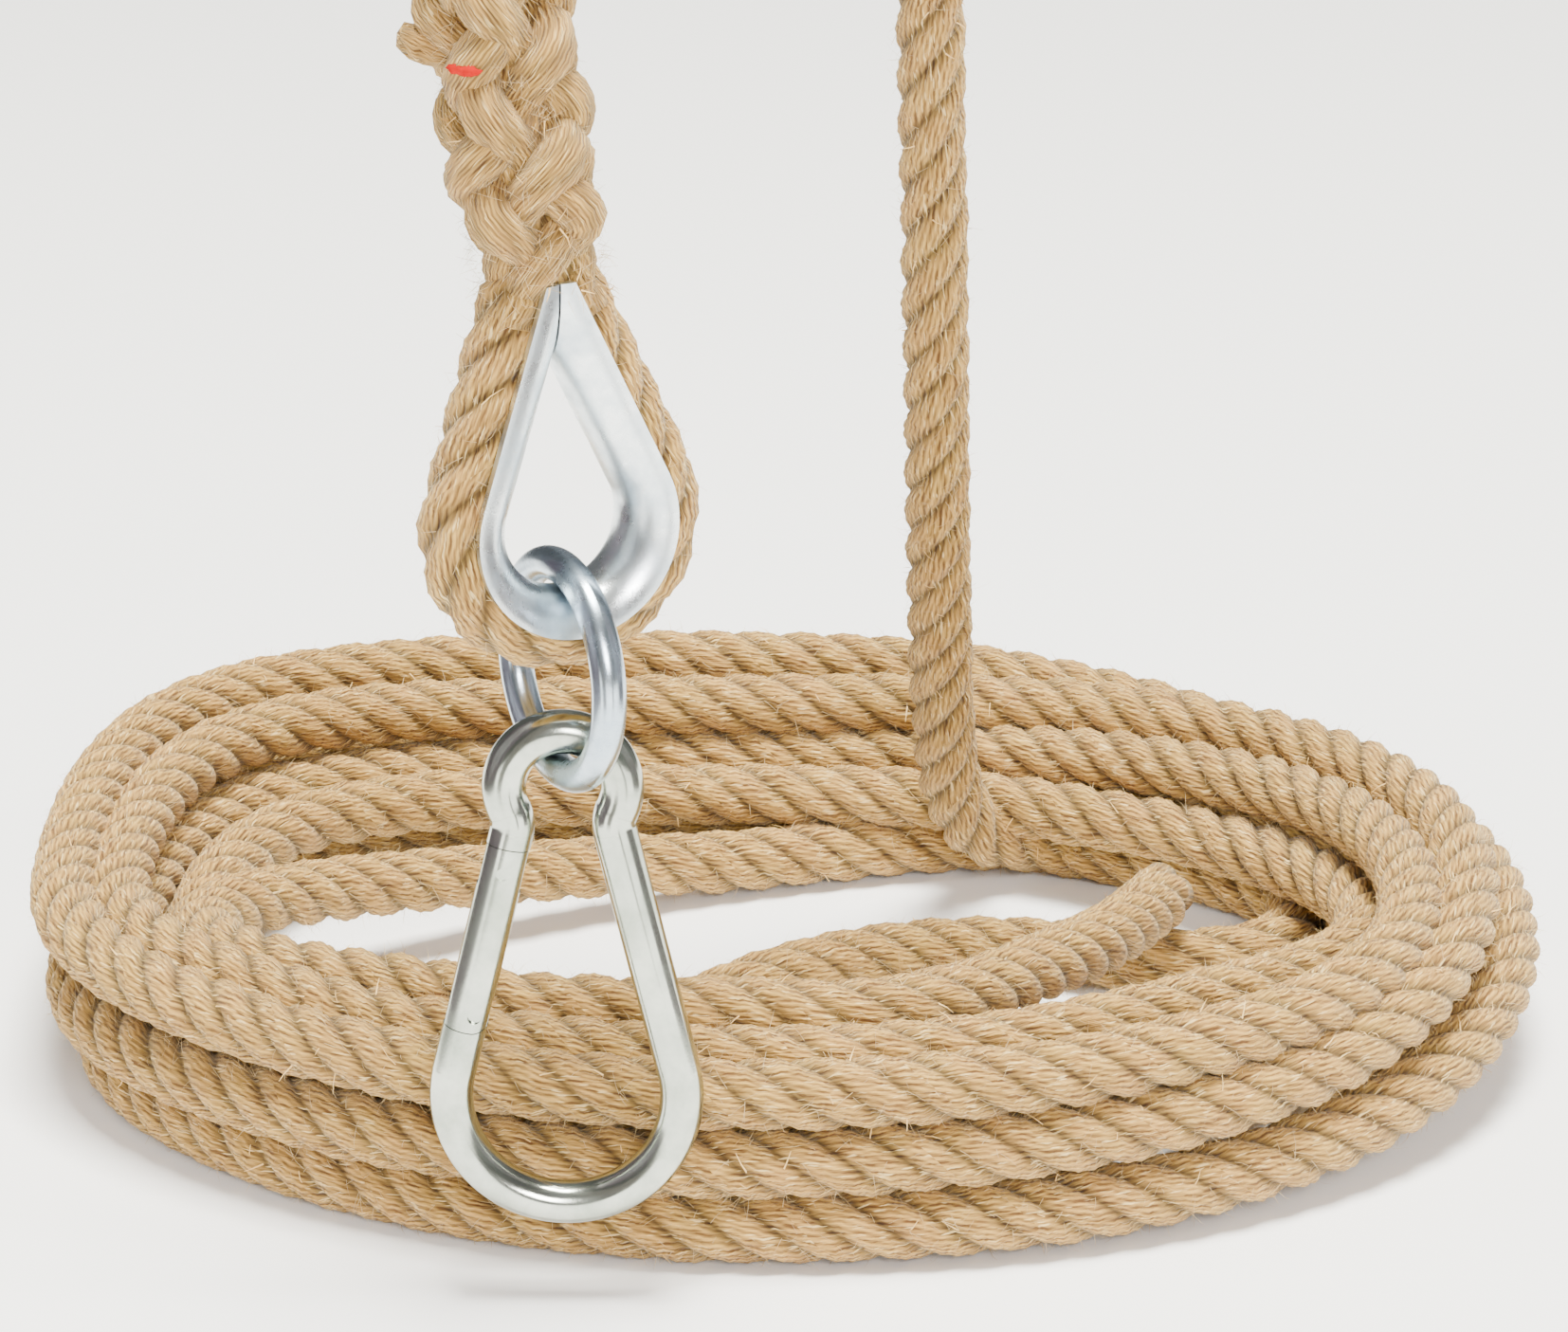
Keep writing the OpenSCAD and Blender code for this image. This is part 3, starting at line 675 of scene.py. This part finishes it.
lamp("top_light", (0.2, -0.4, 4.6), (1.9, 1.7), 840, (1, 0.985, 0.90))
lamp("front_light", (0.8, -5.2, 2.4), (1.9, 1.7), 350, (1, 0.955, 0.93))
lamp("left_light", (-2.2, -0.6, 1.0), (0.35, 1.4), 26)
lamp("right_light", (2.2, -0.4, 1.0), (0.35, 1.4), 26)
SURROUND_POWER = 0.40
sky = bpy.data.worlds.new("studio")
sky.use_nodes = True
around = sky.node_tree
ways = node(around, "ShaderNodeTexCoord", (-900, 0))
sides = node(around, "ShaderNodeSeparateXYZ", (-700, 0))
walls = node(around, "ShaderNodeValToRGB", (-450, 0))
stops = walls.color_ramp.elements
EDGE_TONE, DIM_TONE, MIDDLE_TONE = 0.75, 0.4, 0.8
for stop in stops:
    stop.color = (EDGE_TONE, EDGE_TONE, EDGE_TONE, 1)
for at, tone in ((0.10, EDGE_TONE), (0.16, DIM_TONE), (0.36, DIM_TONE), (0.44, MIDDLE_TONE),
                 (0.56, MIDDLE_TONE), (0.63, DIM_TONE), (0.84, DIM_TONE), (0.90, EDGE_TONE)):
    stop = stops.new(at)
    stop.color = (tone, tone, tone, 1)
turned = node(around, "ShaderNodeMath", (-580, -150), operation="MULTIPLY_ADD")
turned.inputs[1].default_value = 0.5
turned.inputs[2].default_value = 0.5
glow = node(around, "ShaderNodeMath", (-200, 0), operation="MULTIPLY")
glow.inputs[1].default_value = SURROUND_POWER
around.nodes["Background"].inputs[0].default_value = (0.95, 0.95, 0.95, 1)
around.links.new(ways.outputs["Generated"], sides.inputs[0])
around.links.new(sides.outputs["X"], turned.inputs[0])
around.links.new(turned.outputs[0], walls.inputs[0])
around.links.new(walls.outputs[0], glow.inputs[0])
around.links.new(glow.outputs[0], around.nodes["Background"].inputs[1])
bpy.context.scene.world = sky
CARD_HEIGHT, CARD_MIDDLE = 0.8, 0.42


def flag(name, start, end, shade):
    """A dark upright card near the eye. Only polished metal sees it, as a dark streak."""
    (x0, y0), (x1, y1) = start, end
    bpy.ops.mesh.primitive_plane_add(size=1, location=((x0 + x1) / 2, (y0 + y1) / 2, CARD_MIDDLE),
                                     rotation=(math.pi / 2, 0, math.atan2(y1 - y0, x1 - x0)))
    card = bpy.context.object
    card.name = name
    card.scale = (math.hypot(x1 - x0, y1 - y0), CARD_HEIGHT, 1)
    bpy.ops.object.transform_apply(location=True, rotation=True, scale=True)
    cloth = bpy.data.materials.new(name + "_cloth")
    cloth.use_nodes = True
    cloth.node_tree.nodes["Principled BSDF"].inputs["Base Color"].default_value = shade
    card.data.materials.append(cloth)
    card.visible_camera = card.visible_diffuse = card.visible_shadow = False


flag("left_flag", (-0.46, -0.55), (-0.46, 0.06), (0.05, 0.035, 0.05, 1))
flag("right_flag", (0.40, -0.42), (0.40, -0.08), (0.06, 0.05, 0.06, 1))
flag("near_left_flag", (-0.31, -0.56), (-0.16, -0.60), (0.13, 0.12, 0.12, 1))
flag("near_right_flag", (0.10, -0.56), (0.15, -0.54), (0.05, 0.05, 0.05, 1))

# Steel fittings
# The thimble, ring and ceiling fitting are zinc plated with a bluish satin, and the snap hook is
# bright plated and polished.
steel_look = bpy.data.node_groups.new("plated_steel", "ShaderNodeTree")
group_socket(steel_look, "Color", "NodeSocketColor", "INPUT", (0.7, 0.75, 0.8, 1))
group_socket(steel_look, "Stain", "NodeSocketColor", "INPUT", (0.5, 0.55, 0.6, 1))
group_socket(steel_look, "Size", "NodeSocketFloat", "INPUT", 90.0)
group_socket(steel_look, "Smooth", "NodeSocketFloat", "INPUT", 0.2)
group_socket(steel_look, "Rough", "NodeSocketFloat", "INPUT", 0.4)
group_socket(steel_look, "Color", "NodeSocketColor", "OUTPUT")
group_socket(steel_look, "Roughness", "NodeSocketFloat", "OUTPUT")
group_socket(steel_look, "Height", "NodeSocketFloat", "OUTPUT")


def fill_steel_look(tree):
    """Cloudy patches that change the plating's tone and gloss, over a fine grit."""
    link = tree.links.new
    given = node(tree, "NodeGroupInput", (-1000, 0))
    out = node(tree, "NodeGroupOutput", (500, 0))
    place = node(tree, "ShaderNodeTexCoord", (-1000, 300))
    cloud = node(tree, "ShaderNodeTexNoise", (-750, 200))
    cloud.inputs["Detail"].default_value = 5
    cloud.inputs["Roughness"].default_value = 0.65
    link(place.outputs["Object"], cloud.inputs["Vector"])
    link(given.outputs["Size"], cloud.inputs["Scale"])
    grit = node(tree, "ShaderNodeTexNoise", (-750, -200))
    grit.inputs["Scale"].default_value = 1400
    grit.inputs["Detail"].default_value = 2
    link(place.outputs["Object"], grit.inputs["Vector"])
    mask = node(tree, "ShaderNodeMapRange", (-500, 200))
    mask.inputs["From Min"].default_value = 0.38
    mask.inputs["From Max"].default_value = 0.66
    link(cloud.outputs[0], mask.inputs["Value"])
    tone = node(tree, "ShaderNodeMix", (-200, 200), data_type="RGBA")
    link(mask.outputs[0], tone.inputs["Factor"])
    link(given.outputs["Color"], tone.inputs["A"])
    link(given.outputs["Stain"], tone.inputs["B"])
    rough = node(tree, "ShaderNodeMix", (-200, -50), data_type="FLOAT")
    link(mask.outputs[0], rough.inputs["Factor"])
    link(given.outputs["Smooth"], rough.inputs["A"])
    link(given.outputs["Rough"], rough.inputs["B"])
    link(tone.outputs["Result"], out.inputs["Color"])
    link(rough.outputs["Result"], out.inputs["Roughness"])
    link(grit.outputs[0], out.inputs["Height"])


fill_steel_look(steel_look)


def steel_finish(name, colour, stain, size, smooth, rough, grain):
    made = bpy.data.materials.new(name)
    made.use_nodes = True
    tree = made.node_tree
    shader = tree.nodes["Principled BSDF"]
    shader.inputs["Metallic"].default_value = 1
    look = node(tree, "ShaderNodeGroup", (-500, 0), node_tree=steel_look)
    look.inputs["Color"].default_value = colour
    look.inputs["Stain"].default_value = stain
    look.inputs["Size"].default_value = size
    look.inputs["Smooth"].default_value = smooth
    look.inputs["Rough"].default_value = rough
    fine = node(tree, "ShaderNodeBump", (-250, -200))
    fine.inputs["Strength"].default_value = grain
    fine.inputs["Distance"].default_value = 0.0001
    tree.links.new(look.outputs["Color"], shader.inputs["Base Color"])
    tree.links.new(look.outputs["Roughness"], shader.inputs["Roughness"])
    tree.links.new(look.outputs["Height"], fine.inputs["Height"])
    tree.links.new(fine.outputs[0], shader.inputs["Normal"])
    return made


satin_zinc = steel_finish("satin_zinc", (0.84, 0.89, 0.90, 1), (0.58, 0.66, 0.71, 1), 70, 0.24, 0.38, 0.25)
ring_zinc = steel_finish("ring_zinc", (0.55, 0.64, 0.71, 1), (0.38, 0.47, 0.56, 1), 60, 0.20, 0.32, 0.15)
bright_zinc = steel_finish("bright_zinc", (0.56, 0.59, 0.52, 1), (0.34, 0.38, 0.32, 1), 45, 0.14, 0.24, 0.12)
wire_steel = steel_finish("spring_wire", (0.42, 0.42, 0.43, 1), (0.30, 0.30, 0.31, 1), 200, 0.25, 0.35, 0.1)
FINISHES = {
    satin_zinc: ("thimble", "ceiling_plate", "swing_hook", "hook_lock_nut"),
    ring_zinc: ("swing_ring",),
    bright_zinc: ("carabiner_body", "carabiner_gate", "gate_rivet", "latch_pin"),
    wire_steel: ("gate_plunger", "gate_spring"),
}
for finish, names in FINISHES.items():
    for name in names:
        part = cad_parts[name]
        for part_slot in part.material_slots:
            part_slot.material = finish
